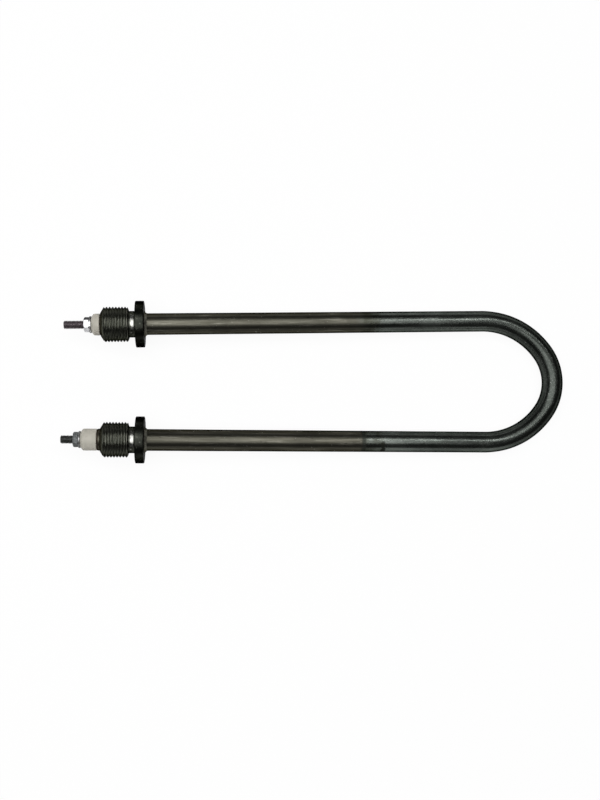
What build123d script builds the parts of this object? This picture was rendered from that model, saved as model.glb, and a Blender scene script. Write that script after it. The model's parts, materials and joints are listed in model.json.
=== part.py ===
from build123d import *
import os
from math import asin, atan2, cos, degrees, hypot, radians, sin, tan

# U-bent tubular heating element. One steel sheath is bent into a U, and its two legs toe in slightly
# toward the terminal end. Each leg carries a brazed bulkhead fitting, and ends in a ceramic bush, a
# washer, a nut and the threaded end of its cold pin. Inside, a resistance coil joins the two cold
# pins and is held in packed magnesia powder.
# While it is modelled, the U lies in the XY plane with its bend toward +X and its upper leg toward
# +Y, and X = 0 is the face of the fittings' collars that looks at the bend. Along each leg, heights
# count outward from that face, toward the terminal.

# ---- Sheath ----
sheath_d = 13.0
sheath_wall = 1.0
sheath_edge_chamfer = 0.4
reach = 254.6  # from the collars to the outermost point of the sheath's centre line
fitting_pitch = 69.6  # between the two legs' axes, at the collars

# The bend is a crown arc between two flatter shoulder arcs, all of them tangent.
crown_radius = 31.4
crown_angle = 70.0
shoulder_radius = 47.0

# ---- Bulkhead fitting: G 1/2 parallel pipe thread, drawn at its major diameter ----
thread_d = 20.955
thread_length = 16.9  # with its lead-in and its run-out
lead_in_length = 2.1
lead_in_land = 0.5  # flat ring left between the lead-in cone and the bore
run_out_length = 0.9
relief_d = 15.9
relief_width = 3.8
relief_corner_radius = 0.5
collar_d = 28.0
collar_width = 5.2
collar_edge_radius = 0.5

# ---- Brazed joint ----
braze_leg = 1.9
braze_hollow_radius = 2.6

# ---- Terminals: M5 rolled thread, drawn at its major diameter where it is free ----
stud_d = 5.0
stud_chamfer = 0.5
pin_shank_d = 4.48  # the blank before rolling, which is also the pitch diameter inside the nut
pin_cold_length = 75.0  # of the cold pin inside the sheath
pin_spigot_length = 8.0  # inner end, which the coil is wound onto
nut_across_flats = 8.0
nut_height = 3.2
nut_face_d = 7.5  # circle where the chamfer of each face starts
nut_chamfer_angle = 30.0
nut_countersink = 0.35
washer_d = 10.0
washer_bore_d = 5.3
washer_thickness = 1.0

# ---- Ceramic bush and the seal below it ----
bush_d = 13.0
bush_bore_d = 5.4
bush_bevel_radial = 2.2
bush_bevel_axial = 1.6
bush_foot_bevel = 0.35
bush_spigot_length = 5.0
bush_spigot_clearance = 0.15  # to the sheath's bore, on the radius
seal_length = 6.0

# ---- Resistance coil, drawn as the sleeve that its close turns fill ----
coil_wire_d = 0.8
coil_inner_d = 4.0

# ---- What differs between the two legs ----
leg_sides = {"upper": 1, "lower": -1}
sheath_stick_out = {"upper": 0.3, "lower": 1.8}  # past the outer end of the fitting
bush_head_length = {"upper": 5.2, "lower": 9.7}
stud_past_nut = {"upper": 11.8, "lower": 7.2}

# ---- Derived sizes ----
sheath_bore_d = sheath_d - 2 * sheath_wall
coil_outer_d = coil_inner_d + 2 * coil_wire_d
thread_start = collar_width + relief_width
fitting_length = thread_start + thread_length
crown_half = radians(crown_angle / 2)
crown_x = reach - crown_radius
shoulder_x = crown_x - (shoulder_radius - crown_radius) * cos(crown_half)
shoulder_y = -(shoulder_radius - crown_radius) * sin(crown_half)
drop_to_shoulder = fitting_pitch / 2 - shoulder_y
toe_in = asin(shoulder_radius / hypot(shoulder_x, drop_to_shoulder)) - atan2(
    drop_to_shoulder, shoulder_x
)


class Leg:
    """One leg of the U: its frame, and the heights at which its pieces seat."""

    def __init__(self, name):
        self.side = leg_sides[name]
        self.plane = Plane(
            origin=(0, self.side * fitting_pitch / 2, 0),
            x_dir=(0, 0, 1),
            z_dir=(-cos(toe_in), -self.side * sin(toe_in), 0),
        )
        self.sheath_end = fitting_length + sheath_stick_out[name]
        self.bush_foot = self.sheath_end - bush_spigot_length
        self.seal_foot = self.bush_foot - seal_length
        self.pin_foot = self.sheath_end - pin_cold_length
        self.coil_end = self.pin_foot + pin_spigot_length
        self.bush_top = self.sheath_end + bush_head_length[name]
        self.nut_foot = self.bush_top + washer_thickness
        self.nut_top = self.nut_foot + nut_height
        self.pin_tip = self.nut_top + stud_past_nut[name]

    def point(self, height):
        """Point on the leg's axis at a height."""
        return self.plane.from_local_coords(Vector(0, 0, height))


legs = {name: Leg(name) for name in leg_sides}


def turned(*outline):
    """Solid turned about Z from an outline of (radius, height) points."""
    points = [(radius, 0, height) for radius, height in outline]
    return revolve(make_face(Polyline(*points, close=True)), Axis.Z)


def ring(outer_d, inner_d, bottom, top):
    """Plain turned ring between two heights."""
    outer = outer_d / 2
    inner = inner_d / 2
    return turned((inner, bottom), (outer, bottom), (outer, top), (inner, top))


def along_u(section, upper_end, lower_end):
    """Sweep a section along the U, from a height on the upper leg to one on the lower leg."""
    crown_end = crown_angle / 2
    shoulder_end = 90 + degrees(toe_in)
    turn = shoulder_end - crown_end
    upper_shoulder = CenterArc((shoulder_x, shoulder_y), shoulder_radius, shoulder_end, -turn)
    crown = CenterArc((crown_x, 0), crown_radius, crown_end, -crown_angle)
    lower_shoulder = CenterArc((shoulder_x, -shoulder_y), shoulder_radius, -crown_end, -turn)
    start = legs["upper"].point(upper_end)
    path = Line(start, upper_shoulder @ 0) + upper_shoulder + crown + lower_shoulder
    path += Line(lower_shoulder @ 1, legs["lower"].point(lower_end))
    start_plane = Plane(origin=start, z_dir=-legs["upper"].plane.z_dir)
    return sweep(start_plane * section, path=path)


def sheath_tube():
    """The sheath, with the outer edge of each end broken."""
    section = Circle(sheath_d / 2) - Circle(sheath_bore_d / 2)
    tube = along_u(section, legs["upper"].sheath_end, legs["lower"].sheath_end)
    surface = sheath_d / 2
    chamfer = sheath_edge_chamfer
    for leg in legs.values():
        end = leg.sheath_end
        waste = turned(
            (surface - chamfer, end),
            (surface + chamfer, end + chamfer),
            (surface + chamfer, end - chamfer),
            (surface, end - chamfer),
        )
        tube -= leg.plane * waste
    return tube


def fitting():
    """Bulkhead fitting: round collar, thread relief and threaded barrel with both its cones."""
    bore = sheath_d / 2
    crest = thread_d / 2
    neck = relief_d / 2
    collar = collar_d / 2
    outline = [
        (bore, 0, 0),
        (collar, 0, 0),
        (collar, 0, collar_width),
        (neck, 0, collar_width),
        (neck, 0, thread_start),
        (crest, 0, thread_start + run_out_length),
        (crest, 0, fitting_length - lead_in_length),
        (bore + lead_in_land, 0, fitting_length),
        (bore, 0, fitting_length),
    ]
    profile = make_face(Polyline(*outline, close=True))
    rim = profile.vertices().group_by(Axis.X)[-1]
    profile = fillet(rim, collar_edge_radius)
    corner = profile.vertices().sort_by_distance((neck, 0, collar_width))[0]
    profile = fillet(corner, relief_corner_radius)
    return revolve(profile, Axis.Z)


def braze_fillet():
    """Hollow fillet of braze metal in the corner between the collar and the sheath."""
    inner = sheath_d / 2
    corner = Vector(inner, 0, 0)
    on_collar = corner + Vector(braze_leg, 0, 0)
    on_sheath = corner - Vector(0, 0, braze_leg)
    chord_middle = (on_collar + on_sheath) / 2
    half_chord_squared = braze_leg**2 / 2
    hollow = braze_hollow_radius - (braze_hollow_radius**2 - half_chord_squared) ** 0.5
    deepest = chord_middle + Vector(-1, 0, 1).normalized() * hollow
    edges = Line(corner, on_collar) + ThreePointArc(on_collar, deepest, on_sheath)
    edges += Line(on_sheath, corner)
    return revolve(make_face(edges), Axis.Z)


def insulator(leg):
    """Ceramic bush: bevelled head on the sheath's end, and a spigot inside it."""
    bore = bush_bore_d / 2
    head = bush_d / 2
    spigot = sheath_bore_d / 2 - bush_spigot_clearance
    return turned(
        (bore, leg.bush_foot),
        (spigot, leg.bush_foot),
        (spigot, leg.sheath_end),
        (head - bush_foot_bevel, leg.sheath_end),
        (head, leg.sheath_end + bush_foot_bevel),
        (head, leg.bush_top - bush_bevel_axial),
        (head - bush_bevel_radial, leg.bush_top),
        (bore, leg.bush_top),
    )


def nut(leg):
    """Hexagon nut with both faces chamfered and its bore at the thread's pitch diameter."""
    bottom = leg.nut_foot
    top = leg.nut_top
    corner = nut_across_flats / 2 / cos(radians(30))
    blank = Pos(0, 0, bottom) * extrude(RegularPolygon(corner, 6, rotation=30), nut_height)
    bore = pin_shank_d / 2
    face = nut_face_d / 2
    beyond = nut_across_flats
    drop = (beyond - face) * tan(radians(nut_chamfer_angle))
    envelope = turned(
        (bore + nut_countersink, bottom),
        (face, bottom),
        (beyond, bottom + drop),
        (beyond, top - drop),
        (face, top),
        (bore + nut_countersink, top),
        (bore, top - nut_countersink),
        (bore, bottom + nut_countersink),
    )
    return blank & envelope


def terminal_pin(leg):
    """Cold pin: threaded free end, plain shank down through the seal, spigot for the coil."""
    stud = stud_d / 2
    shank = pin_shank_d / 2
    spigot = coil_inner_d / 2
    return turned(
        (0, leg.pin_foot),
        (spigot, leg.pin_foot),
        (spigot, leg.coil_end),
        (shank, leg.coil_end),
        (shank, leg.nut_top),
        (stud, leg.nut_top),
        (stud, leg.pin_tip - stud_chamfer),
        (stud - stud_chamfer, leg.pin_tip),
        (0, leg.pin_tip),
    )


# ---- Assembly ----
coil_section = Circle(coil_outer_d / 2) - Circle(coil_inner_d / 2)
pieces = {
    "sheath_tube": sheath_tube(),
    "resistance_coil": along_u(coil_section, legs["upper"].coil_end, legs["lower"].coil_end),
}
for name, leg in legs.items():
    end_seal = ring(sheath_bore_d, pin_shank_d, leg.seal_foot, leg.bush_foot)
    washer = ring(washer_d, washer_bore_d, leg.bush_top, leg.nut_foot)
    pieces[f"{name}_fitting"] = leg.plane * fitting()
    pieces[f"{name}_braze_fillet"] = leg.plane * braze_fillet()
    pieces[f"{name}_end_seal"] = leg.plane * end_seal
    pieces[f"{name}_insulator"] = leg.plane * insulator(leg)
    pieces[f"{name}_washer"] = leg.plane * washer
    pieces[f"{name}_nut"] = leg.plane * nut(leg)
    pieces[f"{name}_terminal_pin"] = leg.plane * terminal_pin(leg)

# The powder fills the sheath between the two seals, round the coil, within it and round the pins.
bore_section = Circle(sheath_bore_d / 2)
powder = along_u(bore_section, legs["upper"].seal_foot, legs["lower"].seal_foot)
powder -= pieces["resistance_coil"]
for name in legs:
    powder -= pieces[f"{name}_terminal_pin"]
pieces["magnesia_fill"] = powder

# The origin is the middle of the footprint, at the height of the collars' lowest points.
box = Compound(list(pieces.values())).bounding_box()
home = Pos(-box.center().X, -box.center().Y, -box.min.Z)

os.makedirs("parts", exist_ok=True)
for node, piece in pieces.items():
    export_step(home * piece, f"parts/{node}.step")
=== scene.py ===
# %% [markdown]
# # A tubular heating element, dressed over its solid model
#
# The part is a steel tube bent into a U. A resistance coil runs inside it, packed in magnesia powder.
# Each leg passes through a brazed bulkhead fitting with a pipe thread, and ends in a ceramic bush, a
# washer, a nut and a threaded stud for the supply lead.
#
# The solids already have the right sizes, so this script adds what they leave out: cut threads,
# softened and battered edges, the uneven bead of braze, and the finish of every surface. Everything
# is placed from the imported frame, in metres.

import json
import math

import bmesh
import bpy
import numpy as np
from mathutils import Matrix, Vector, noise


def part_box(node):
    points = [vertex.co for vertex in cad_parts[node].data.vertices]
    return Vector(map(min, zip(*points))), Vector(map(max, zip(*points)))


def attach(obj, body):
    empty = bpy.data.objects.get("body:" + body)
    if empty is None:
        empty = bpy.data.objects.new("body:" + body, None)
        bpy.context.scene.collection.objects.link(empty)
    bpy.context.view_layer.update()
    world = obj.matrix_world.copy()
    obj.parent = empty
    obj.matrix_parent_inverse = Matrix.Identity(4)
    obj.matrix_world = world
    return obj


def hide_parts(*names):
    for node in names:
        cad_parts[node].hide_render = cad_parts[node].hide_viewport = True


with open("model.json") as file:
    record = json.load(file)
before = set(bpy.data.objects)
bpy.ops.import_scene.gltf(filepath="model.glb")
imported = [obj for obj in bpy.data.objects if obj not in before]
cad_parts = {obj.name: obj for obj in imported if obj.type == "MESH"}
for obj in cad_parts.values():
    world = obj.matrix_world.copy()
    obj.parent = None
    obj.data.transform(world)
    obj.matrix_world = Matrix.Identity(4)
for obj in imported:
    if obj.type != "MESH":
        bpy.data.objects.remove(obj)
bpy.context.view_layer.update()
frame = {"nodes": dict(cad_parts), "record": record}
scene = bpy.context.scene
nodes = frame["nodes"]
mounts = {mount["name"]: mount for mount in frame["record"]["mounts"]}
mm = 0.001

# %% [markdown]
# ## Where the two legs are
#
# A leg is a row of turned parts on one axis: tube, fitting, bush, washer, nut and stud. It pays to
# build them in a frame of the leg's own, in which the axis is Z and heights count outward, and to
# move them into place at the end. The mounts in the record give each leg's axis. Height 0 is the face
# of the fitting's collar that looks at the bend. The sizes of a leg's pieces are then measured on the
# solids, in this frame, and not copied by hand.

# %% The legs' frames
LEGS = ("upper", "lower")


def points_of(node):
    """The corners of a CAD node's mesh, one row each."""
    flat = np.empty(len(nodes[node].data.vertices) * 3)
    nodes[node].data.vertices.foreach_get("co", flat)
    return flat.reshape(-1, 3)


def leg_frame(leg):
    """Matrix from a leg's own frame to the row frame: X up, Z outward along the leg."""
    outward = Vector(mounts[f"{leg}_thread"]["axis"]).normalized()
    up = Vector((0, 0, 1))
    turn = Matrix((up, outward.cross(up), outward)).transposed().to_4x4()
    on_axis = Vector(mounts[f"{leg}_thread"]["pos_m"])
    foot = min(Vector(p).dot(outward) for p in points_of(f"{leg}_fitting"))
    return Matrix.Translation(on_axis + outward * (foot - on_axis.dot(outward))) @ turn


frames = {leg: leg_frame(leg) for leg in LEGS}


def measured(leg, piece):
    """Lowest height, highest height, least radius and greatest radius of a leg's CAD node."""
    back = np.array(frames[leg].inverted())
    own = points_of(f"{leg}_{piece}") @ back[:3, :3].T + back[:3, 3]
    radius = np.hypot(own[:, 0], own[:, 1])
    return own[:, 2].min(), own[:, 2].max(), radius.min(), radius.max()


for leg in LEGS:
    for piece in ("fitting", "insulator", "washer", "nut", "terminal_pin"):
        print(leg, piece, [round(v / mm, 2) for v in measured(leg, piece)])

# %% [markdown]
# ## The centre line of the U
#
# A tube bender leaves straight legs and arcs that meet without a kink. This bend is compound: a tight
# crown arc between two flatter shoulder arcs. The crown's radius and angle describe it, and the
# shoulder's radius follows from them, because its arc has to end on the leg's own axis.

# %% The sizes of the bend
crown_radius = 31.4 * mm
crown_half_angle = math.radians(35)
sheath_radius = (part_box("sheath_tube")[1].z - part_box("sheath_tube")[0].z) / 2
axis_height = frames["upper"].translation.z
crown_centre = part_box("sheath_tube")[1].x - sheath_radius - crown_radius
toe_in = math.atan2(abs(mounts["upper_thread"]["axis"][1]), abs(mounts["upper_thread"]["axis"][0]))


def shoulder():
    """Radius and centre of the shoulder arc that joins the crown to the upper leg's axis."""
    on_leg = frames["upper"].translation.xy
    to_leg = Vector((-math.sin(toe_in), math.cos(toe_in)))
    crown_end = Vector((math.cos(crown_half_angle), math.sin(crown_half_angle)))
    start = Vector((crown_centre, 0)) + crown_end * crown_radius
    # The centre lies back along crown_end by the radius, and the leg lies a radius away from it.
    radius = (on_leg - start).dot(to_leg) / (1 - crown_end.dot(to_leg))
    return radius, start - crown_end * radius


shoulder_radius, shoulder_centre = shoulder()
leg_start = shoulder_centre + Vector((-math.sin(toe_in), math.cos(toe_in))) * shoulder_radius
leg_run = (frames["upper"].translation.xy - leg_start).length
print("shoulder radius in mm:", round(shoulder_radius / mm, 2), "- straight run:", round(leg_run / mm, 1))

# %% [markdown]
# ## A distance along the tube
#
# The tube is built straight and then laid along the centre line. That only needs the length of each
# stretch, and a function that turns a distance along the tube into a point and a direction.

# %% The centre line
sheath_ends = {}
for leg in LEGS:
    place = frames[leg].translation
    on_this_leg = [p for p in map(Vector, points_of("sheath_tube")) if p.y * place.y > 0]
    sheath_ends[leg] = max((p - place).dot(frames[leg].col[2].xyz) for p in on_this_leg)

shoulder_turn = math.pi / 2 + toe_in - crown_half_angle
crown_length = crown_radius * crown_half_angle
shoulder_length = shoulder_radius * shoulder_turn
half_bend = crown_length + shoulder_length
tube_reach = {leg: half_bend + leg_run + sheath_ends[leg] for leg in LEGS}
print("sheath length in mm:", round(sum(tube_reach.values()) / mm, 1))


def along_tube(run):
    """Centre line at distances from the crown's middle, positive toward the upper leg's end.

    Gives the points, and the directions that point away from the inside of the U."""
    side = np.sign(run)
    far = np.abs(run)
    crown_turn = np.minimum(far, crown_length) / crown_radius
    bend_turn = np.clip(far - crown_length, 0, shoulder_length) / shoulder_radius
    angle = crown_turn + bend_turn
    outside = np.stack([np.cos(angle), np.sin(angle)], -1)
    on_crown = np.array([crown_centre, 0]) + outside * crown_radius
    on_shoulder = np.array(shoulder_centre) + outside * shoulder_radius
    past = np.clip(far - half_bend, 0, None)[:, None]
    on_leg = on_shoulder + past * np.stack([-np.sin(angle), np.cos(angle)], -1)
    flat = np.where((far <= crown_length)[:, None], on_crown, on_leg)
    mirror = np.stack([np.ones_like(side), np.where(side < 0, -1, 1)], -1)
    height = np.full((len(run), 1), axis_height)
    return np.hstack([flat * mirror, height]), np.hstack([outside * mirror, height * 0])


# %% [markdown]
# ## One way to make every turned piece
#
# Nearly all of this object came off a lathe or a draw bench, so nearly all of it can be made from an
# outline of heights and radii, carried round an axis. Doing that in mesh code instead of with a
# modifier has one great advantage: before the points are placed, the radius at every height and angle
# can still be changed. A thread, a hexagon or a worn edge is then a formula and not a sculpture.
#
# First comes the outline. `rows_through` turns a few corners into its fine rows, and eases each corner
# with a small curve, because no real edge is perfectly sharp and only a soft edge catches the light.

# %% Outlines
ARC_STEPS = 5


def curved(start, corner, end, steps):
    """Points on a smooth curve from start to end, which a corner pulls toward itself."""
    t = np.linspace(0, 1, steps)[:, None]
    return (1 - t) ** 2 * start + 2 * ((1 - t) * t) * corner + t**2 * end


def toward(start, goal, distance):
    """The point at a distance from start toward a goal, but always less than half way."""
    gap = goal - start
    length = np.linalg.norm(gap)
    return start + gap / length * min(distance, length * 0.49)


def rows_through(corners, closed=True):
    """Rows of (height, radius) through corners of (height, radius, ease, divisions to the next).

    An open outline starts and ends on the axis."""
    spots = [np.array(corner[:2], float) for corner in corners]
    eases = [corner[2] for corner in corners]
    if not closed:
        eases[0] = eases[-1] = 0
    rows = []
    for i, here in enumerate(spots):
        following = (i + 1) % len(spots)
        leave = toward(here, spots[following], eases[i])
        if eases[i]:
            rows.extend(curved(toward(here, spots[i - 1], eases[i]), here, leave, ARC_STEPS))
        else:
            rows.append(here)
        if closed or following:
            arrive = toward(spots[following], here, eases[following])
            divisions = corners[i][3]
            rows.extend(leave + (arrive - leave) * k / divisions for k in range(1, divisions))
    return np.array(rows)


# %% [markdown]
# ## From an outline to a mesh
#
# `turned_piece` carries the rows round the axis in steps, lets one function reshape them and another
# place them. Each point also remembers where it was before it was placed, in millimetres, in an
# attribute that the materials read. Scratches and turning marks then follow the piece, even round
# the bend.

# %% Turned meshes
def turned_piece(name, rows, steps, place, reshape=None, closed=True):
    """Mesh piece from outline rows carried round an axis, reshaped, then placed in the row frame."""
    height, angle = np.meshgrid(rows[:, 0], np.arange(steps) * math.tau / steps, indexing="ij")
    radius = np.repeat(rows[:, 1:2], steps, axis=1)
    if reshape:
        height, radius = reshape(height, radius, angle)
    own = np.stack([radius * np.cos(angle), radius * np.sin(angle), height], -1).reshape(-1, 3)
    row = np.arange(len(rows) if closed else len(rows) - 1)[:, None] * steps
    next_row = (row + steps) % (len(rows) * steps)
    step = np.arange(steps)
    next_step = (step + 1) % steps
    faces = np.stack([row + step, next_row + step, next_row + next_step, row + next_step], -1)
    mesh = bpy.data.meshes.new(name)
    mesh.from_pydata(place(own).tolist(), [], faces.reshape(-1, 4).tolist())
    mesh.attributes.new("own_mm", "FLOAT_VECTOR", "POINT").data.foreach_set("vector", (own / mm).ravel())
    tidy = bmesh.new()
    tidy.from_mesh(mesh)
    bmesh.ops.remove_doubles(tidy, verts=tidy.verts, dist=1e-8)
    bmesh.ops.recalc_face_normals(tidy, faces=tidy.faces)
    tidy.to_mesh(mesh)
    tidy.free()
    mesh.shade_smooth()
    piece = bpy.data.objects.new(name, mesh)
    scene.collection.objects.link(piece)
    piece.modifiers.new("flat_faces_stay_flat", "WEIGHTED_NORMAL").keep_sharp = True
    print(name, "-", len(mesh.polygons), "faces")
    return piece


# %% [markdown]
# ## A piece on each leg
#
# All the pieces made here but the sheath come in pairs, one on each leg, and each stands for a solid
# of the frame. `on_both_legs` makes a pair and hands it over, so a later cell only describes a piece.

# %% Placing and handing over
def on_leg(leg):
    """Placing function for the pieces of a leg."""
    matrix = np.array(frames[leg])
    return lambda own: own @ matrix[:3, :3].T + matrix[:3, 3]


def hand_over(piece, node):
    """Let a finished piece stand for its CAD node and ride on the body."""
    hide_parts(node)
    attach(piece, "root")


def on_both_legs(make, node):
    """Make a piece for each leg, and let it stand for the leg's own CAD node."""
    pieces = {leg: make(leg) for leg in LEGS}
    for leg, piece in pieces.items():
        hand_over(piece, f"{leg}_{node}")
    return pieces


# %% [markdown]
# ## Worn and uneven surfaces
#
# Two small helpers serve for reshaping. `smooth_min` lets one surface cut another and leaves a soft
# edge between them. `grain` gives smooth random values, the same on each run, for waves and wear.

# %% Helpers for reshaping
def smooth_min(a, b, soft):
    """The lesser of two values, with a rounded change from one to the other."""
    return (a + b - np.sqrt((a - b) ** 2 + soft**2)) / 2


def grain(height, radius, angle, size, seed):
    """Smooth random values from about -1 to 1, which change over a given size on the piece."""
    spots = np.stack([radius * np.cos(angle), radius * np.sin(angle), height], -1) / size
    shift = Vector((seed, seed * 2, seed * 3))
    values = [noise.noise(Vector(p) + shift) for p in spots.reshape(-1, 3)]
    return np.array(values).reshape(height.shape)


# %% [markdown]
# ## The sheath
#
# The sheath is a drawn steel tube, about 13 mm across, rolled down on its powder filling and then
# bent. It is never quite even: it has long shallow waves from the rolling, and it is a little flat on
# the outside of the bend. A sweep along a curve object would give a perfect tube, and a perfect tube
# has a perfect, lifeless highlight. So the tube is made straight, waves and all, and laid along the
# centre line. Its bore is part of the same closed mesh.

# %% The sheath
sheath_wall = 1.0 * mm
sheath_edge = 0.4 * mm
sheath_edge_ease = 0.15 * mm
sheath_row_gap = 1.0 * mm
wave_height = 0.04 * mm
wave_size = 14 * mm  # round the tube
wave_stretch = 2  # times as long along the tube
bend_flattening = 0.12 * mm
flattening_fade = 6 * mm
sheath_seed = 3.1


def place_on_tube(own):
    """Lay straight tube coordinates along the centre line: X is up and Y points out of the U."""
    points, outside = along_tube(own[:, 2])
    return points + np.array([0, 0, 1]) * own[:, :1] + outside * own[:, 1:2]


def uneven_tube(height, radius, angle):
    """Rolling waves all along, and a slightly flattened outside on the bend."""
    waves = grain(height / wave_stretch, radius, angle, wave_size, sheath_seed) * wave_height
    bent = np.clip((half_bend - np.abs(height)) / flattening_fade, 0, 1)
    flat = bent * bend_flattening * np.clip(np.sin(angle), 0, 1) ** 2
    outer = radius > sheath_radius - sheath_wall / 2
    return height, np.where(outer, np.minimum(radius + waves - flat, sheath_radius), radius)


far, near = tube_reach["upper"], -tube_reach["lower"]
bore_radius = sheath_radius - sheath_wall
divisions = int((far - near) / sheath_row_gap)
sheath_rows = rows_through([
    (near, bore_radius, 0, divisions // 4),
    (far, bore_radius, 0.1 * mm, 2),
    (far, sheath_radius - sheath_edge, sheath_edge_ease, 1),
    (far - sheath_edge, sheath_radius, sheath_edge_ease, divisions),
    (near + sheath_edge, sheath_radius, sheath_edge_ease, 1),
    (near, sheath_radius - sheath_edge, sheath_edge_ease, 2),
])
sheath = turned_piece("sheath", sheath_rows, 64, place_on_tube, uneven_tube)
hand_over(sheath, "sheath_tube")

# %% [markdown]
# ## A thread that is really cut
#
# A bump map can fake a thread seen from the front, but not its outline, and the outline is where the
# eye looks for it. Cutting a screw with a boolean gives a true thread and a messy mesh. Here the cut
# is a formula instead. The height and angle of a point say how many turns of the screw it stands at,
# and its distance from the nearest crest says how deep the groove is there. The lesser radius of blank
# and groove wins, just as a die would leave it, so the thread fades in over the lead-in cone and out
# at the relief with no further work.

# %% Thread helper
def thread_radius(height, angle, major_radius, pitch, half_angle, crest_flat, depth, soft):
    """Radius of a right-handed thread at a height and an angle."""
    turns = height / pitch - angle / math.tau
    from_crest = np.abs((turns + 0.5) % 1 - 0.5) * pitch
    cut = np.clip((from_crest - crest_flat / 2) / math.tan(half_angle), 0, None)
    return major_radius - smooth_min(cut, depth, soft)


# %% [markdown]
# ## The bulkhead fittings
#
# Each fitting is a blackened steel turning. Its round collar seals against the inside of the tank wall,
# and its half-inch parallel pipe thread takes a backnut from outside. A relief groove behind the
# collar lets the nut run right up to it. This pipe thread has 14 turns to the inch and flanks at 55
# degrees, with rounded crests and roots. The crests of a handled fitting are battered, and a little
# noise on their radius does that.

# %% The bulkhead fittings
pipe_thread = {
    "pitch": 25.4 / 14 * mm,
    "half_angle": math.radians(27.5),
    "crest_flat": 0.46 * mm,
    "depth": 0.86 * mm,  # less than when new, because the grooves hold paint and dirt
    "soft": 0.3 * mm,
}
pipe_run_out = 0.9 * mm
pipe_edge_soft = 0.05 * mm
crest_wear = 0.34 * mm
wear_size = 2.8 * mm
lead_in = 2.1 * mm
lead_in_land = 0.5 * mm
relief_width = 3.8 * mm
relief_radius = 7.95 * mm
collar_width = 5.2 * mm
collar_rim = 0.55 * mm
turning_waves = 0.03 * mm
turning_wave_size = 3 * mm
fitting_seed = 1.7


def fitting_piece(leg):
    """Collar, relief and threaded barrel, with the bore that the sheath passes through."""
    _, top, bore, collar_radius = measured(leg, "fitting")
    crest = mounts[f"{leg}_thread"]["dims"]["r_mm"] * mm
    thread_foot = collar_width + relief_width
    rows = rows_through([
        (0, bore, 0, 6),
        (0, collar_radius, collar_rim, 4),
        (collar_width, collar_radius, collar_rim, 6),
        (collar_width, relief_radius, 0.5 * mm, 6),
        (thread_foot, relief_radius, 0.2 * mm, 8),
        (thread_foot + pipe_run_out, crest, 0.1 * mm, 150),
        (top - lead_in, crest, 0.6 * mm, 24),
        (top, bore + lead_in_land, 0.1 * mm, 2),
        (top, bore, 0, 10),
    ])
    seed = fitting_seed + LEGS.index(leg)

    def cut(height, radius, angle):
        wear = np.clip(grain(height, radius, angle, wear_size, seed), 0, 1) * crest_wear
        groove = thread_radius(height, angle, crest, **pipe_thread)
        threaded = np.minimum(smooth_min(radius, groove, pipe_edge_soft), crest - wear)
        on_barrel = (height > collar_width + relief_width / 2) & (radius > relief_radius)
        waves = np.abs(grain(height, radius, angle, turning_wave_size, seed)) * turning_waves
        on_collar = (height <= collar_width) & (radius > collar_radius - collar_rim)
        return height, np.where(on_barrel, threaded, np.where(on_collar, radius - waves, radius))

    return turned_piece(f"{leg}_fitting_turned", rows, 144, on_leg(leg), cut)


fittings = on_both_legs(fitting_piece, "fitting")

# %% [markdown]
# ## The braze fillets
#
# The fitting is brazed to the sheath, and the filler draws itself into a hollow fillet in the corner
# between the collar and the tube. A real fillet is not turned: it swells and thins as it goes round.
# The outline is a hollow arc, and slow noise moves its free surface in and out.

# %% The braze fillets
fillet_fullness = 0.21  # 0 is the most hollow face, 0.5 a flat one
fillet_rows = 12
fillet_waves = 0.22 * mm
fillet_wave_size = 3.2 * mm
fillet_hold = 0.25  # share of the face, next to each edge, where the waves fade out
fillet_sink = 0.1 * mm  # into the sheath, whose surface is uneven
fillet_seed = 8.3


def fillet_piece(leg):
    """Ring with a hollow free face between the collar and the sheath."""
    low, high, inner, outer = measured(leg, "braze_fillet")
    inner -= fillet_sink
    corner = np.array([high, inner])
    on_collar = np.array([high, outer])
    on_sheath = np.array([low, inner])
    pull = corner + (on_collar + on_sheath - 2 * corner) * fillet_fullness
    rows = np.vstack([corner, curved(on_sheath, pull, on_collar, fillet_rows)])
    seed = fillet_seed + LEGS.index(leg)

    def swell(height, radius, angle):
        waves = grain(height, radius, angle, fillet_wave_size, seed) * fillet_waves
        free = np.minimum(np.abs(height - high), np.abs(radius - inner)) / (outer - inner)
        out = np.clip(free / fillet_hold, 0, 1) * waves
        return height - out, radius + out

    return turned_piece(f"{leg}_fillet_bead", rows, 96, on_leg(leg), swell)


fillets = on_both_legs(fillet_piece, "braze_fillet")

# %% [markdown]
# ## The ceramic bushes
#
# A steatite bush keeps the live stud clear of the earthed sheath. It is pressed and fired, so its
# edges are soft and its surface a little uneven. The upper one is short and the lower one long.
# The outline follows the solid's: a spigot inside the tube, the head, and the bevel under the washer.

# %% The ceramic bushes
bush_bevel = (2.2 * mm, 1.6 * mm)  # radial, axial
bush_foot_bevel = 0.35 * mm
bush_spigot = 5.0 * mm
spigot_clearance = 0.15 * mm
bush_unevenness = 0.05 * mm
bush_wave_size = 2.5 * mm
even_bore = 1 * mm  # of the wall next to the bore, which the mould's core kept even
bush_seed = 14.6


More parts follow.
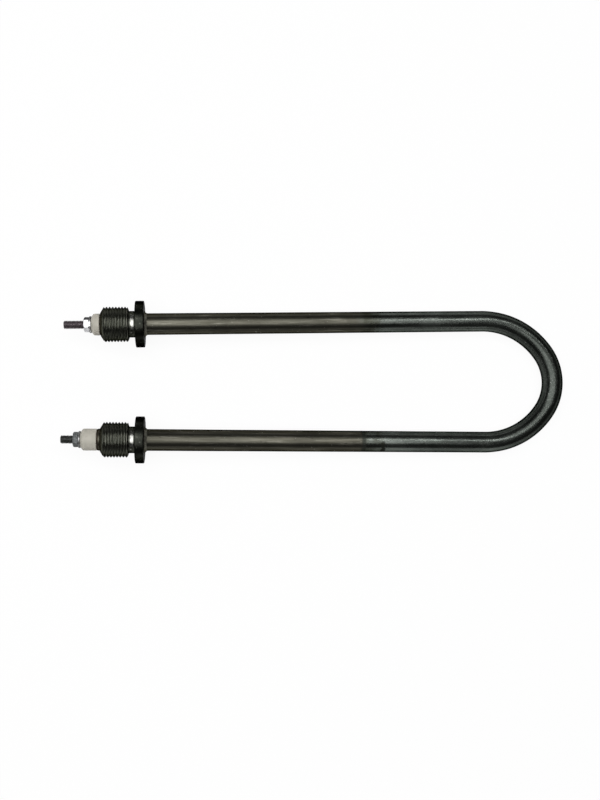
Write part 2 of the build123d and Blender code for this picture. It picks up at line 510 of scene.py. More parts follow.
def bush_piece(leg):
    """Ceramic bush with softened edges."""
    low, high, bore, head = measured(leg, "insulator")
    seat = low + bush_spigot
    spigot = bore_radius - spigot_clearance
    rows = rows_through([
        (low, bore, 0.1 * mm, 3),
        (low, spigot, 0.3 * mm, 6),
        (seat, spigot, 0, 3),
        (seat, head - bush_foot_bevel, 0.1 * mm, 2),
        (seat + bush_foot_bevel, head, 0.25 * mm, 14),
        (high - bush_bevel[1], head, 0.7 * mm, 6),
        (high, head - bush_bevel[0], 0.4 * mm, 4),
        (high, bore, 0.2 * mm, 16),
    ])
    seed = bush_seed + LEGS.index(leg)

    def fired(height, radius, angle):
        uneven = np.abs(grain(height, radius, angle, bush_wave_size, seed)) * bush_unevenness
        free = (height > seat) & (radius > bore + even_bore)
        return height, np.where(free, radius - uneven, radius)

    return turned_piece(f"{leg}_ceramic_bush", rows, 72, on_leg(leg), fired)


bushes = on_both_legs(bush_piece, "insulator")

# %% [markdown]
# ## The washers
#
# A stamped washer spreads the nut's load over the brittle ceramic. One of its edges is rounded by the
# punch and the other is sharp, and that is all its outline has to say.

# %% The washers
washer_rounding = 0.35 * mm


def washer_piece(leg):
    """Stamped washer, rounded at the outer edge that faces the nut."""
    low, high, bore, outer = measured(leg, "washer")
    rows = rows_through([
        (low, bore, 0.1 * mm, 4),
        (low, outer, 0.08 * mm, 3),
        (high, outer, washer_rounding, 4),
        (high, bore, 0.1 * mm, 3),
    ])
    return turned_piece(f"{leg}_stamped_washer", rows, 72, on_leg(leg))


washers = on_both_legs(washer_piece, "washer")

# %% [markdown]
# ## The nuts
#
# The nut is a plain M5 with both faces chamfered at 30 degrees, which leaves the curved lines that a
# hexagon nut shows on its flats. Those lines need no drawing: the hexagon is a second radius that
# depends on the angle alone, and the lesser of it and the chamfer's cone wins.

# %% The nuts
across_flats = 8.0 * mm
nut_face_radius = 3.75 * mm
nut_chamfer = math.radians(30)
nut_countersink = 0.35 * mm
nut_ease = 0.06 * mm
nut_corner_soft = 0.12 * mm


def nut_piece(leg):
    """Hexagon nut whose flats face up and down, like its solid's."""
    low, high, bore, corner = measured(leg, "nut")
    drop = (corner - nut_face_radius) * math.tan(nut_chamfer)
    rows = rows_through([
        (low + nut_countersink, bore, 0, 2),
        (low, bore + nut_countersink, nut_ease, 5),
        (low, nut_face_radius, nut_ease, 10),
        (low + drop, corner, 0.05 * mm, 14),
        (high - drop, corner, 0.05 * mm, 10),
        (high, nut_face_radius, nut_ease, 5),
        (high, bore + nut_countersink, nut_ease, 2),
        (high - nut_countersink, bore, 0, 6),
    ])

    def hexagon(height, radius, angle):
        off_flat = (angle + math.pi / 6) % (math.pi / 3) - math.pi / 6
        flat = across_flats / 2 / np.cos(off_flat)
        return height, np.minimum(radius, smooth_min(flat, corner - nut_corner_soft / 2, nut_corner_soft))

    return turned_piece(f"{leg}_hexagon_nut", rows, 120, on_leg(leg), hexagon)


nuts = on_both_legs(nut_piece, "nut")

# %% [markdown]
# ## The terminal pins
#
# The cold pin carries the current from the stud down to the coil. Its free end has a rolled M5 thread,
# and the rest is a plain shank that is hidden in the nut, the bush and the seal. The same thread helper
# serves here, with the 60 degree form and 0.8 mm pitch of the metric thread.

# %% The terminal pins
stud_thread = {
    "pitch": 0.8 * mm,
    "half_angle": math.radians(30),
    "crest_flat": 0.12 * mm,
    "depth": 0.42 * mm,
    "soft": 0.08 * mm,
}
stud_edge_soft = 0.03 * mm
stud_wear = 0.07 * mm
stud_wear_size = 0.9 * mm
stud_row_gap = 0.06 * mm
stud_chamfer = 0.5 * mm
pin_spigot_length = 8.0 * mm
pin_spigot_radius = 2.0 * mm
pin_shank_radius = 2.24 * mm
pin_seed = 21.9


def pin_piece(leg):
    """Threaded stud, plain shank and the spigot that the coil is wound onto."""
    low, high, _, stud = measured(leg, "terminal_pin")
    nut_top = measured(leg, "nut")[1]
    rows = rows_through([
        (low, 0, 0, 3),
        (low, pin_spigot_radius, 0.2 * mm, 6),
        (low + pin_spigot_length, pin_spigot_radius, 0, 2),
        (low + pin_spigot_length, pin_shank_radius, 0.1 * mm, 20),
        (nut_top, pin_shank_radius, 0, 2),
        (nut_top, stud, 0.05 * mm, int((high - nut_top) / stud_row_gap)),
        (high - stud_chamfer, stud, 0.15 * mm, 8),
        (high, stud - stud_chamfer, 0.15 * mm, 6),
        (high, 0, 0, 1),
    ], closed=False)
    seed = pin_seed + LEGS.index(leg)

    def rolled(height, radius, angle):
        wear = np.clip(grain(height, radius, angle, stud_wear_size, seed), 0, 1) * stud_wear
        groove = thread_radius(height, angle, stud, **stud_thread)
        threaded = np.minimum(smooth_min(radius, groove, stud_edge_soft), stud - wear)
        above_nut = height > nut_top - 0.01 * mm  # a hair lower, so that rounding can't lose a row
        on_stud = above_nut & (radius > pin_shank_radius - stud_thread["depth"])
        return height, np.where(on_stud, threaded, radius)

    return turned_piece(f"{leg}_threaded_pin", rows, 60, on_leg(leg), rolled, closed=False)


pins = on_both_legs(pin_piece, "terminal_pin")

# %% [markdown]
# ## A helper for finishes
#
# A finish is a few ideas stacked up: a base colour that varies, a second colour where something has
# happened to the surface, a gloss that varies too, and a fine relief. In Blender each idea is a few
# nodes. This small class adds them with one short call each, so that the cells below read like a
# description of the surface.
#
# Every pattern is placed by the attribute that the meshes carry, so a finish counts in millimetres,
# apart from the depth of its relief. Z runs along the piece, and X and Y run across it.

# %% The finish helper
edge_reflection = 0.01  # dirt and oxide keep a metal's edges from mirroring the paper


class Finish:
    """A material, with short ways to add nodes to it."""

    def __init__(self, name, metallic):
        self.material = bpy.data.materials.new(name)
        self.material.use_nodes = True
        self.tree = self.material.node_tree
        self.tree.nodes.clear()
        self.shader = self.tree.nodes.new("ShaderNodeBsdfPrincipled")
        self.shader.inputs["Metallic"].default_value = metallic
        if metallic:
            self.shader.inputs["Specular Tint"].default_value = (*[edge_reflection] * 3, 1)
        self.output = self.tree.nodes.new("ShaderNodeOutputMaterial")
        self.tree.links.new(self.shader.outputs["BSDF"], self.output.inputs["Surface"])
        self.own = self.node("Attribute", attribute_name="own_mm").outputs["Vector"]

    def fill(self, socket, value):
        """Link a socket to an output, or give it a plain value."""
        if isinstance(value, bpy.types.NodeSocket):
            self.tree.links.new(value, socket)
        elif socket.type == "RGBA":
            socket.default_value = (*value, 1)
        else:
            socket.default_value = value

    def node(self, kind, inputs=None, **settings):
        """Add a node, set its properties, and fill its inputs."""
        made = self.tree.nodes.new(f"ShaderNode{kind}")
        for key, value in settings.items():
            setattr(made, key, value)
        for key, value in (inputs or {}).items():
            self.fill(made.inputs[key], value)
        return made

    def axis(self, name):
        """One of the piece's own coordinates."""
        return self.node("SeparateXYZ", {"Vector": self.own}).outputs[name]

    def radius(self):
        """Distance from the piece's own axis."""
        across = self.node("VectorMath", {0: self.own, 1: (1, 1, 0)}, operation="MULTIPLY").outputs[0]
        return self.node("VectorMath", {0: across}, operation="LENGTH").outputs["Value"]

    def noise(self, scale, stretch=(1, 1, 1), detail=4.0, rough=0.55, shift=(0, 0, 0)):
        """Noise from 0 to 1. The scale is in waves per millimetre, and a stretch under 1 draws it out."""
        place = self.node("Mapping", {"Vector": self.own, "Scale": stretch, "Location": shift})
        inputs = {"Vector": place.outputs[0], "Scale": scale, "Detail": detail, "Roughness": rough}
        return self.node("TexNoise", inputs).outputs["Fac"]

    def between(self, value, low, high, start=0.0, end=1.0, smooth=False):
        """Move a value from one range to another, and keep it inside."""
        inputs = {"Value": value, "From Min": low, "From Max": high, "To Min": start, "To Max": end}
        kind = "SMOOTHSTEP" if smooth else "LINEAR"
        return self.node("MapRange", inputs, interpolation_type=kind).outputs["Result"]

    def calculate(self, operation, first, second=0.0):
        """One step of arithmetic."""
        return self.node("Math", {0: first, 1: second}, operation=operation).outputs[0]

    def times(self, first, second):
        """The product of two values, or one amount weakened by another."""
        return self.calculate("MULTIPLY", first, second)

    def near(self, value, middle, width, fade):
        """1 within a width of a middle value, fading to 0."""
        away = self.calculate("ABSOLUTE", self.calculate("SUBTRACT", value, middle))
        return self.between(away, width / 2, width / 2 + fade, 1.0, 0.0, smooth=True)

    def mix(self, amount, first, second):
        """A value that goes from the first to the second as the amount goes from 0 to 1."""
        return self.node("Mix", {0: amount, 2: first, 3: second}, data_type="FLOAT").outputs[0]

    def blend(self, amount, first, second):
        """The same for two colours."""
        return self.node("Mix", {0: amount, 6: first, 7: second}, data_type="RGBA").outputs[2]

    def mottle(self, pattern, tones):
        """Two tones of a colour, dark where a noise is low and light where it is high."""
        return self.blend(self.between(pattern, 0.35, 0.65), *tones)

    def done(self, colour, roughness, height=None, depth=0.0):
        """Connect colour, roughness and a relief whose depth is in metres."""
        self.fill(self.shader.inputs["Base Color"], colour)
        self.fill(self.shader.inputs["Roughness"], roughness)
        if height is not None:
            bump = self.node("Bump", {"Height": height, "Distance": depth, "Strength": 1.0})
            self.fill(self.shader.inputs["Normal"], bump.outputs["Normal"])
        print(self.material.name, "-", len(self.tree.nodes), "nodes")
        return self.material


def dress(pieces, material):
    """Give pieces a material."""
    for piece in pieces:
        piece.data.materials.clear()
        piece.data.materials.append(material)


# %% [markdown]
# ## Where the sheath changes its skin
#
# The sheath has two skins. On the legs it is drawn steel, darkened to an olive brown and satin. For
# bending, the middle was heated, and there it carries a blue-black scale. The change is sharp on the
# lower leg, where a dark ring marks it, and blotchy on the upper leg. Both places are measured along
# the part, so they are turned into distances along the tube, which is what the material can read.

# %% Where the scale starts
scale_edge_x = {"upper": 29 * mm, "lower": 25 * mm}  # along the part, from its middle
scale_fade = {"upper": 9.0, "lower": 0.7}  # half the width of the change
scale_wander = 5.0  # how far the blotches move it on the upper leg


def run_at(x):
    """Distance in millimetres from the crown's middle to a place on a straight leg."""
    return (half_bend + (leg_start.x - x) / math.cos(toe_in)) / mm


scale_edges = {leg: run_at(scale_edge_x[leg]) for leg in LEGS}
print("the scale ends at these runs in mm:", {leg: round(v, 1) for leg, v in scale_edges.items()})


def scale_amount(f, run, blotch):
    """1 under the scale and 0 on the drawn legs."""
    upper, lower = scale_edges["upper"], -scale_edges["lower"]
    wander = f.between(blotch, 0.3, 0.7, -scale_wander, scale_wander)
    fade = scale_fade["upper"]
    on_upper = f.between(f.calculate("ADD", run, wander), upper - fade, upper + fade, 1.0, 0.0, smooth=True)
    fade = scale_fade["lower"]
    on_lower = f.between(run, lower - fade, lower + fade, 0.0, 1.0, smooth=True)
    return f.times(on_upper, on_lower)


# %% [markdown]
# ## The drawn skin
#
# Both skins reflect little light, so they are made as a dark metal: its colour is what it gives back
# of the lamp, and everything it doesn't reflect stays nearly black. That is why the tube shows one
# narrow bright band, and why small changes in gloss show up so strongly in it.
#
# The drawn skin is streaked along its length. Some streaks are worn light, a few places are smudged
# dark, and small knocks have left bright nicks.

# %% The drawn skin
steel_tones = ((0.055, 0.053, 0.041), (0.088, 0.085, 0.069))
worn_steel = (0.2, 0.195, 0.165)
dark_steel = (0.04, 0.039, 0.031)
smudge_colour = (0.02, 0.019, 0.014)
nick_colour = (0.5, 0.49, 0.44)


def drawn_skin(f, streaks, patches):
    """Olive brown steel with light streaks, dark patches and smudges, and bright nicks."""
    worn = f.between(f.noise(0.6, stretch=(1, 1, 0.1), detail=7.0, rough=0.7), 0.56, 0.68)
    dirt = f.noise(0.32, stretch=(1, 1, 0.45), detail=6.0, rough=0.65, shift=(9, 0, 0))
    smudge = f.between(dirt, 0.63, 0.7)
    nicks = f.between(f.noise(1.1, detail=3.0, rough=0.6, shift=(0, 0, 7)), 0.7, 0.74)
    colour = f.mottle(streaks, steel_tones)
    colour = f.blend(f.times(worn, 0.75), colour, worn_steel)
    colour = f.blend(f.between(patches, 0.58, 0.42, 0.0, 0.45), colour, dark_steel)
    colour = f.blend(f.times(smudge, 0.75), colour, smudge_colour)
    return f.blend(nicks, colour, nick_colour)


# %% [markdown]
# ## The scale
#
# The scale is glossier than the drawn skin. Near the crown its colour is painted darker, as painted
# shade that dims the lamp's band there. Fine grit in it breaks the bright line of the lamp into specks,
# so the specks are a pattern of their own and not only a change of gloss.

# %% The scale
scale_tones = ((0.077, 0.087, 0.078), (0.127, 0.141, 0.128))
dark_scale = (0.042, 0.047, 0.042)
# painted shade: the colour the scale is darkened to near the crown, which dims the lamp's band there
crown_shade_colour = (0.022, 0.025, 0.022)
speck_colour = (0.42, 0.43, 0.41)
crown_shade_reach = 30.0  # from the crown's middle


def scaled_skin(f, run, streaks, patches):
    """Blue-black scale, painted darker near the crown as painted shade, and full of small specks."""
    # painted shade: the scale darkens towards the crown, so the lamp's band is dimmer there
    crown_shade_amount = f.between(f.calculate("ABSOLUTE", run), crown_shade_reach, half_bend / mm, 1.0, 0.0)
    specks = f.between(f.noise(1.9, stretch=(1, 1, 0.6), detail=8.0, rough=0.8), 0.54, 0.72, smooth=True)
    colour = f.mottle(streaks, scale_tones)
    colour = f.blend(f.between(patches, 0.56, 0.4, 0.0, 0.6), colour, dark_scale)
    colour = f.blend(f.times(crown_shade_amount, 0.75), colour, crown_shade_colour)
    return f.blend(f.times(specks, 0.8), colour, speck_colour)


# %% [markdown]
# ## Marks on the sheath
#
# Four marks are laid over the skins. A dark ring stands where the scale ends on the lower leg, and a
# stain lies a little way into the scale there, on the outer side. Near the edge of the scale both
# legs are scorched in patches. Rust has started where the tube was cut off, and there the colour is
# also darkened as painted shade, where the end sits between the fitting and the bush.

# %% Marks on the sheath
ring_width, ring_fade = 1.0, 1.6
stain_x = 37.5 * mm
stain_width, stain_fade = 1.8, 0.8
stain_side = (-0.2, 1.2)  # from the tube's axis outward, where the stain sets in
mark_colour = (0.014, 0.015, 0.011)
scorch_x = 31.5 * mm
scorch_width, scorch_fade = 7.0, 4.0
scorch_colour = (0.03, 0.031, 0.021)
rust_and_shade_reach, rust_and_shade_full = 1.4, 0.5  # from the cut ends
# rust, and painted shade where the cut end sits between fitting and bush
sheath_rust_and_shade = (0.036, 0.024, 0.016)


def ring_and_stain(f, run, blotch):
    """The ring round the lower leg and the stain beside it."""
    ring = f.near(run, -scale_edges["lower"] + ring_fade / 2, ring_width, ring_fade)
    ring = f.times(ring, f.between(blotch, 0.3, 0.6, 0.45, 0.8))
    frayed = f.calculate("ADD", run, f.between(f.noise(0.7, detail=5.0), 0.3, 0.7, -1.0, 1.0))
    stain = f.near(frayed, -run_at(stain_x), stain_width, stain_fade)
    stain = f.times(stain, f.between(f.axis("Y"), *stain_side, 0.0, 0.85))
    return f.calculate("MAXIMUM", ring, stain)


def scorched(f, run):
    """Patches on both legs, near the edge of the scale."""
    place = f.near(f.calculate("ABSOLUTE", run), run_at(scorch_x), scorch_width, scorch_fade)
    return f.times(place, f.between(f.noise(0.25, detail=5.0), 0.35, 0.6, 0.25, 0.7))


def rusted_and_shaded_ends(f, run):
    """The last millimetre of each leg, where rust and painted shade go."""
    upper, lower = tube_reach["upper"] / mm, -tube_reach["lower"] / mm
    on_upper = f.between(run, upper - rust_and_shade_reach, upper - rust_and_shade_full)
    on_lower = f.between(run, lower + rust_and_shade_reach, lower + rust_and_shade_full)
    return f.calculate("MAXIMUM", on_upper, on_lower)


print("stain and scorch at these runs in mm:", round(run_at(stain_x), 1), round(run_at(scorch_x), 1))

# %% [markdown]
# ## The sheath's finish
#
# Skins and marks are put together here, and get their gloss and relief. The gloss follows the same
# streaks as the colour on the drawn legs, and slower clouds on the scale. The relief is fine drawing
# lines along the tube, and grit that is coarser on the scale.

# %% The sheath's finish
satin_roughness = (0.4, 0.31)  # where the streaks are dark and where they are light
scale_roughness = (0.22, 0.31)
sheath_relief = 0.025 * mm


def sheath_finish():
    """Brown satin steel on the legs, blue-black scale over the bend."""
    f = Finish("sheath_drawn_and_scaled", 1.0)
    run = f.axis("Z")
    blotch = f.noise(0.12, shift=(5, 0, 0))
    streaks = f.noise(0.9, stretch=(1, 1, 0.05), detail=5.0)
    patches = f.noise(0.07, stretch=(1, 1, 0.5), shift=(0, 3, 0), detail=5.0)
    scaled = scale_amount(f, run, blotch)
    marks = ring_and_stain(f, run, blotch)
    rust = rusted_and_shaded_ends(f, run)

    colour = f.blend(scaled, drawn_skin(f, streaks, patches), scaled_skin(f, run, streaks, patches))
    colour = f.blend(marks, colour, mark_colour)
    colour = f.blend(scorched(f, run), colour, scorch_colour)
    # painted shade as well as rust: the cut ends are darkened where they sit between fitting and bush
    colour = f.blend(f.times(rust, 0.8), colour, sheath_rust_and_shade)

    satin = f.between(streaks, 0.3, 0.7, *satin_roughness)
    glossy = f.between(f.noise(0.16, stretch=(1, 1, 0.35)), 0.35, 0.65, *scale_roughness)
    dulled = f.calculate("MAXIMUM", marks, rust)
    roughness = f.calculate("ADD", f.mix(scaled, satin, glossy), f.times(dulled, 0.3))

    lines = f.noise(3.0, stretch=(1, 1, 0.04), detail=3.0)
    grit = f.noise(1.3, stretch=(1, 1, 0.7), detail=6.0, rough=0.65)
    grit = f.times(grit, f.between(scaled, 0.0, 1.0, 0.6, 1.35))
    return f.done(colour, roughness, f.calculate("ADD", f.times(lines, 0.2), grit), sheath_relief)


dress([sheath], sheath_finish())

# %% [markdown]
# ## Wear, dust and painted light on the fittings
#
# The turnings were blackened, and what happened to them since depends on the place. Handling has
# rubbed the crests of the thread, and most of all its last turn before the relief, whose shoulder is
# also painted lighter as painted light against the shade that falls there. Pale dust sits in the
# grooves, and their colour is painted lighter too, as painted light that lifts their shade. The
# blackening missed the relief groove, which shows patches of bright steel. Each of these is picked
# out by a height and a radius on the piece.

# %% Wear, dust and painted light on the fittings
thread_start = (collar_width + relief_width) / mm
thread_fade = 0.4
rubbed_and_lit_turn_width = 0.5
# painted light: the grooves and the last turn's shoulder are also painted lighter, against the shade that
# falls on them
rubbed_crest = (9.9, 10.3)  # radii between which each kind of wear sets in
dusty_and_lit_groove = (10.15, 9.75)
rubbed_and_lit_turn = (8.6, 9.0)
bare_groove = (9.0, 8.4)
bare_width, bare_fade = 1.2, 0.6
bare_top = (5.8, 7.2)  # heights above the leg's axis, where more is bare
rubbed_blacking = (0.15, 0.155, 0.13)
# the next two colours are pale dust and rubbing, and also painted light that lifts the shade in the grooves
# and on the shoulder
dust_and_painted_light = (0.11, 0.113, 0.092)
rubbed_and_painted_light = (0.2, 0.2, 0.17)


def thread_wear_and_painted_light(f, colour, height, radius, fine):
    """Rubbed crests, and dusty grooves and a rubbed last turn that are also painted light against shade."""
    barrel = f.between(height, thread_start, thread_start + thread_fade)
    crest = f.times(f.between(radius, *rubbed_crest), barrel)
    colour = f.blend(f.times(f.times(crest, f.between(fine, 0.44, 0.6)), 0.35), colour, rubbed_blacking)
    # painted light: the grooves are lightened against the shade that falls in them, besides pale dust
    groove_dust_and_light = f.times(f.between(radius, *dusty_and_lit_groove), barrel)
    colour = f.blend(groove_dust_and_light, colour, dust_and_painted_light)
    # painted light: the shoulder of the last turn is lightened where shade falls on it, besides rubbing
    last_turn_rubbed_and_lit = f.near(height, thread_start + thread_fade, rubbed_and_lit_turn_width, thread_fade)
    return f.blend(f.times(last_turn_rubbed_and_lit, f.between(radius, *rubbed_and_lit_turn)), colour, rubbed_and_painted_light)


def bare_relief(f, height, radius):
    """Where the relief groove shows bare steel: in flakes, and more of them on top."""
    groove = f.near(height, (collar_width + relief_width / 2) / mm, bare_width, bare_fade)
    in_groove = f.times(groove, f.between(radius, *bare_groove))
    on_top = f.times(f.between(f.axis("X"), *bare_top), 0.2)
    flakes = f.calculate("ADD", f.noise(0.55, detail=4.0), on_top)
    return f.times(in_groove, f.between(flakes, 0.6, 0.66))


# %% [markdown]
# ## The fittings' finish
#
# The blackening is cloudy and a little chipped, and on the collar it is darker than on the barrel.
# Rust has started round the lead-in, where water gets at it. The relief is fine turning rings, which
# are a noise that is long across the piece and short along it.

# %% The fittings' finish
blacking_tones = ((0.03, 0.032, 0.026), (0.058, 0.06, 0.05))
collar_tones = ((0.011, 0.012, 0.01), (0.024, 0.025, 0.021))
chip_colour = (0.16, 0.165, 0.14)
bare_steel = (0.36, 0.36, 0.34)
blacking_roughness = (0.26, 0.4)
bare_roughness = 0.26
rusted_cone = (24.2, 25.6)  # heights on the lead-in
fitting_rust = (0.07, 0.038, 0.022)
fitting_relief = 0.04 * mm


def fitting_finish():
    """Blackened steel, worn on the thread and bare in the relief groove."""
    f = Finish("fitting_blackened", 1.0)
    height, radius = f.axis("Z"), f.radius()
    cloud = f.noise(0.35, detail=5.0)
    fine = f.noise(2.2, detail=6.0, rough=0.65)
    on_collar = f.between(height, collar_width / mm + 0.3, collar_width / mm)
    colour = f.blend(on_collar, f.mottle(cloud, blacking_tones), f.mottle(cloud, collar_tones))
    chips = f.between(f.noise(0.9, detail=6.0, rough=0.7, shift=(0, 4, 0)), 0.6, 0.66)
    colour = f.blend(f.times(chips, 0.6), colour, chip_colour)
    colour = thread_wear_and_painted_light(f, colour, height, radius, fine)
    bare = bare_relief(f, height, radius)
    colour = f.blend(bare, colour, bare_steel)
    rust = f.times(f.between(height, *rusted_cone), f.between(fine, 0.4, 0.6))
    colour = f.blend(f.times(rust, 0.5), colour, fitting_rust)

    roughness = f.mix(bare, f.between(fine, 0.3, 0.7, *blacking_roughness), bare_roughness)
    rings = f.noise(2.5, stretch=(0.1, 0.1, 1), detail=2.0)
    return f.done(colour, roughness, f.calculate("ADD", f.times(rings, 0.4), fine), fitting_relief)


dress(fittings.values(), fitting_finish())

# %% [markdown]
# ## The braze fillets' finish
#
# Braze that was left as it set is duller and lighter than the blackened steel round it. Burnt flux
# stays on it as brown-grey clouds, and the surface is wavy and never turned or brushed.

# %% The braze fillets' finish
braze_tones = ((0.09, 0.088, 0.072), (0.17, 0.167, 0.14))
braze_roughness = (0.4, 0.6)
braze_relief = 0.08 * mm


def braze_finish():
    """Dull grey filler with flux stains."""
    f = Finish("braze_dull", 1.0)
    cloud = f.noise(0.6, detail=5.0)
    roughness = f.between(cloud, 0.3, 0.7, *braze_roughness)
    return f.done(f.mottle(cloud, braze_tones), roughness, f.noise(1.5), braze_relief)


dress(fillets.values(), braze_finish())

# %% [markdown]
# ## The ceramic's finish
#
# Unglazed steatite is a warm grey, matt, and slightly mottled. It is the only thing in sight that isn't
# metal, so nearly all of its light is its own colour. Handling leaves grey smudges on it, and faint
# rings stay from the turning before it was fired.

# %% The ceramic's finish
steatite_tones = ((0.43, 0.415, 0.355), (0.49, 0.465, 0.405))
ring_colour = (0.36, 0.35, 0.3)
handled_colour = (0.2, 0.185, 0.15)
steatite_roughness = (0.55, 0.7)
steatite_relief = 0.02 * mm


def ceramic_finish():
    """Matt warm grey steatite."""
    f = Finish("steatite_fired", 0.0)
    rings = f.noise(1.6, stretch=(0.05, 0.05, 1), detail=3.0)
    dirt = f.between(f.noise(0.7, detail=6.0, rough=0.65), 0.58, 0.75)
    grit = f.noise(5.0, detail=4.0)
    colour = f.mottle(f.noise(0.25, detail=5.0), steatite_tones)
    colour = f.blend(f.between(rings, 0.5, 0.75, 0.0, 0.35), colour, ring_colour)
    colour = f.blend(f.times(dirt, 0.5), colour, handled_colour)
    return f.done(colour, f.between(grit, 0.3, 0.7, *steatite_roughness), grit, steatite_relief)


dress(bushes.values(), ceramic_finish())

# %% [markdown]
# ## The small hardware
#
# The washers, nuts and studs are plated or rolled steel, handled and a little corroded. The upper nut
# is still bright and flashes in the lamp, and the lower one has gone dull and mottled. So there is one
# recipe, and a table with the numbers for each piece.

# %% The hardware's finishes
# the side where the piece is darker: radii from the axis where the darkening sets in, and the grey it goes
# to
darker_side_reach = (2.0, 2.8)  # from the axis, where the stain sets in
darker_side_grey = (0.1, 0.1, 0.1)
gloss_spread = 0.12
hardware_relief = 0.03 * mm


def hardware_finish(name, dark, light, roughness, waves, metallic, darker_side_amount):
    """Plated steel: two greys in a mottle, with gloss that follows it, and one side darker."""
    f = Finish(name, metallic)
    cloud = f.noise(waves, detail=6.0, rough=0.65)
    side = f.calculate("ADD", f.axis("Y"), f.between(cloud, 0.3, 0.7, -0.6, 0.6))
    # one side of the piece is darker in colour, by the amount in the table's last column
    stain = f.times(f.between(side, *darker_side_reach), darker_side_amount)
    colour = f.blend(stain, f.blend(f.between(cloud, 0.38, 0.62), dark, light), darker_side_grey)
    gloss = f.between(cloud, 0.3, 0.7, roughness + gloss_spread, roughness - gloss_spread / 2)
    return f.done(colour, gloss, f.noise(3.0, detail=4.0), hardware_relief)


# piece, name, dark and light tone, roughness, waves per millimetre, metallic, darker side
for piece, *recipe in (
    (nuts["upper"], "zinc_bright", (0.5, 0.5, 0.51), (0.86, 0.86, 0.88), 0.3, 0.5, 1.0, 0.85),
    (nuts["lower"], "zinc_dull", (0.07, 0.075, 0.075), (0.2, 0.21, 0.21), 0.6, 1.1, 0.4, 0.0),
    (washers["upper"], "washer_bright", (0.3, 0.3, 0.3), (0.62, 0.62, 0.62), 0.38, 0.8, 1.0, 0.7),
    (washers["lower"], "washer_dull", (0.14, 0.14, 0.14), (0.34, 0.34, 0.34), 0.42, 0.8, 1.0, 0.0),
    (pins["upper"], "stud_brown", (0.11, 0.092, 0.1), (0.2, 0.175, 0.185), 0.4, 0.8, 0.9, 0.0),
    (pins["lower"], "stud_black", (0.05, 0.053, 0.05), (0.12, 0.124, 0.115), 0.4, 0.8, 0.9, 0.0),
):
    dress([piece], hardware_finish(*recipe))

# %% [markdown]
# ## The inside
#
# The powder, the coil and the resin seals are closed in, and no view reaches them, but someone may cut
# the model open. They keep the solids' own meshes, which carry no attribute, so their patterns are
# placed by the object's coordinates instead. These are in metres, so the scales are larger.

# %% Finishes of the inner pieces
inner_relief = 0.05 * mm
inner_spread = 0.08


def inner_finish(name, dark, light, roughness, waves, metallic):
    """Plain mottled finish for a piece that keeps its solid's mesh."""
    f = Finish(name, metallic)
    place = f.node("TexCoord").outputs["Object"]
    cloud = f.node("TexNoise", {"Vector": place, "Scale": waves, "Detail": 5.0}).outputs["Fac"]
    gloss = f.between(cloud, 0.3, 0.7, roughness - inner_spread, roughness + inner_spread)
    return f.done(f.mottle(cloud, (dark, light)), gloss, cloud, inner_relief)


end_seals = [f"{leg}_end_seal" for leg in LEGS]
# nodes, name, dark and light tone, roughness, waves per metre, metallic
for inside, *recipe in (
    (["magnesia_fill"], "magnesia_packed", (0.72, 0.71, 0.66), (0.84, 0.83, 0.78), 0.9, 900, 0.0),
    (["resistance_coil"], "heating_alloy_drawn", (0.32, 0.3, 0.27), (0.48, 0.46, 0.42), 0.4, 1500, 1.0),
    (end_seals, "seal_resin_cast", (0.38, 0.09, 0.04), (0.5, 0.14, 0.07), 0.5, 600, 0.0),
):
    dress([nodes[node] for node in inside], inner_finish(*recipe))

# %% [markdown]
# ## The shape of the paper
#
# The part lies on a sheet of white paper and touches it in three places: at the two collars, which
# are wider than the tube, and at the bend. So the paper slopes a little against the part, and that
# slope is worked out from those places.
#
# Far away the paper sweeps up in a curve, as a studio backdrop does, so that a low view shows no edge.
# The helper for turned pieces makes it too, and its rim is kept level all round.

# %% The paper's shape
scene.view_settings.view_transform = "Standard"
flat_reach = 2.4
paper_reach = 4.2
sweep_height = 1.08
sweep_rows = 16
paper_gap = 0.05 * mm  # keeps the paper clear of the steel
collar_foot = Vector((frames["upper"].translation.x, 0, 0))
bend_foot = Vector((crown_centre + crown_radius, 0, axis_height - sheath_radius))
slope = math.atan2(bend_foot.z - collar_foot.z, bend_foot.x - collar_foot.x)
sweep = np.linspace(0, 1, sweep_rows)
paper_rows = np.stack([sweep_height * sweep**2, flat_reach + (paper_reach - flat_reach) * sweep], -1)


def level_rim(own):
    """Placing function that keeps the paper's rim level, while its middle slopes with the part."""
    drop = own[:, 2] / sweep_height * own[:, 0] * math.tan(slope)
    return own - drop[:, None] * np.array([0, 0, 1])


paper = turned_piece("paper", np.vstack([[0, 0], paper_rows]), 96, level_rim, closed=False)
paper.rotation_euler = (0, -slope, 0)
paper.location = collar_foot - Vector((0, 0, paper_gap))
print("the paper slopes by", round(math.degrees(slope), 2), "degrees")

# %% [markdown]
# ## The paper's white
#
# The paper gives the white background. Part of its white is its own glow towards the camera and into
# reflections, so the lamps don't have to be turned up to make it white, and it still takes the
# part's shadow.

# %% The paper's finish
paper_tones = ((0.93, 0.93, 0.93), (0.95, 0.95, 0.95))
paper_glow = 0.93
fibres_per_metre = 300.0


def paper_finish():
    """White paper, which glows a little for the camera and in reflections."""
    f = Finish("paper_white", 0.0)
    fibres = f.node("TexNoise", {"Vector": f.node("TexCoord").outputs["Object"], "Scale": fibres_per_metre})
    material = f.done(f.blend(fibres.outputs["Fac"], *paper_tones), 0.9)
    rays = f.node("LightPath")
    seen = f.calculate("MAXIMUM", rays.outputs["Is Camera Ray"], rays.outputs["Is Glossy Ray"])
    seen = f.calculate("MAXIMUM", seen, rays.outputs["Is Transmission Ray"])
    glow = f.node("Emission", {"Color": (1.0, 1.0, 1.0), "Strength": 1.0})
    both = {0: f.times(seen, paper_glow), 1: f.shader.outputs["BSDF"], 2: glow.outputs["Emission"]}
    f.fill(f.output.inputs["Surface"], f.node("MixShader", both).outputs["Shader"])
    return material


paper.data.materials.append(paper_finish())

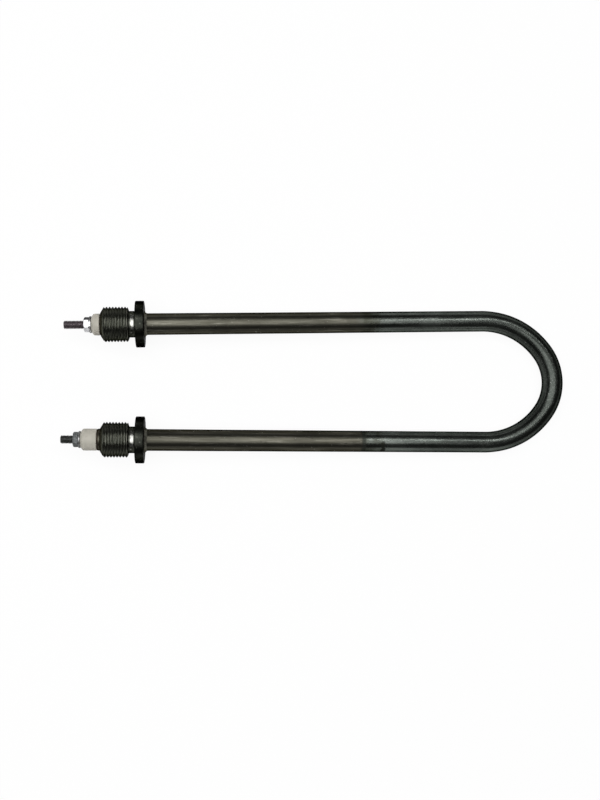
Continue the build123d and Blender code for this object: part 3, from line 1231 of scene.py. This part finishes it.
# %% [markdown]
# ## The lamps
#
# One wide soft lamp hangs high above the part, a little to the left. A round bar reflects it as one
# band, and the width of the band is the width of the lamp. A bar reflects a lamp only where the
# mirrored line of sight meets it, so a second, narrow lamp beyond the bend draws a thin bright line
# through the band on the glossy scale, and leaves the rest alone. The room is dim and grey, which
# keeps the sides of the tube dark.

# %% The lamps
room_level = 0.07
world = bpy.data.worlds.new("dim_room")
scene.world = world
world.use_nodes = True
world.node_tree.nodes["Background"].inputs["Color"].default_value = (1, 1, 1, 1)
world.node_tree.nodes["Background"].inputs["Strength"].default_value = room_level


def soft_lamp(name, place, width, depth, level):
    """Soft lamp aimed at the part. The level is what a white surface facing up would show."""
    data = bpy.data.lights.new(name, "AREA")
    data.shape = "RECTANGLE"
    data.size, data.size_y = width, depth
    area = width * depth
    spread = area / math.pi
    shown = spread / (spread + place.length_squared) * place.z / place.length
    data.energy = level / shown * math.pi * area
    lamp = bpy.data.objects.new(name, data)
    scene.collection.objects.link(lamp)
    away = place.normalized()
    along = (Vector((1, 0, 0)) - away * away.x).normalized()
    turn = Matrix((along, away.cross(along), away)).transposed().to_4x4()
    lamp.matrix_world = Matrix.Translation(place) @ turn
    print(name, "energy in W:", round(data.energy, 1))


soft_lamp("wide_lamp", Vector((-0.35, 0.12, 1.5)), width=1.6, depth=1.6, level=0.85)
soft_lamp("narrow_lamp", Vector((0.66, 0.42, 1.5)), width=0.6, depth=0.14, level=0.075)

# %% [markdown]
# ## The camera
#
# The camera looks nearly straight down from about half a metre, over the left half of the part. Its
# place, its turn and its lens were found together, by matching measured points of the part.

# %% The camera
camera_place = Vector((-75.2, -46.7, 542.3)) * mm
camera_turn = Vector((0.0671, -0.1177, -0.0075))  # axis times angle in radians
picture_width = 600
focal_length = 872.87  # in pixels of a picture that wide
sensor_width = 36.0
camera_data = bpy.data.cameras.new("camera")
camera_data.sensor_fit = "HORIZONTAL"
camera_data.sensor_width = sensor_width
camera_data.lens = focal_length / picture_width * sensor_width
camera = bpy.data.objects.new("camera", camera_data)
scene.collection.objects.link(camera)
scene.camera = camera
turned = Matrix.Rotation(camera_turn.length, 4, camera_turn.normalized())
camera.matrix_world = Matrix.Translation(camera_place) @ turned
print("lens in mm:", round(camera_data.lens, 2))
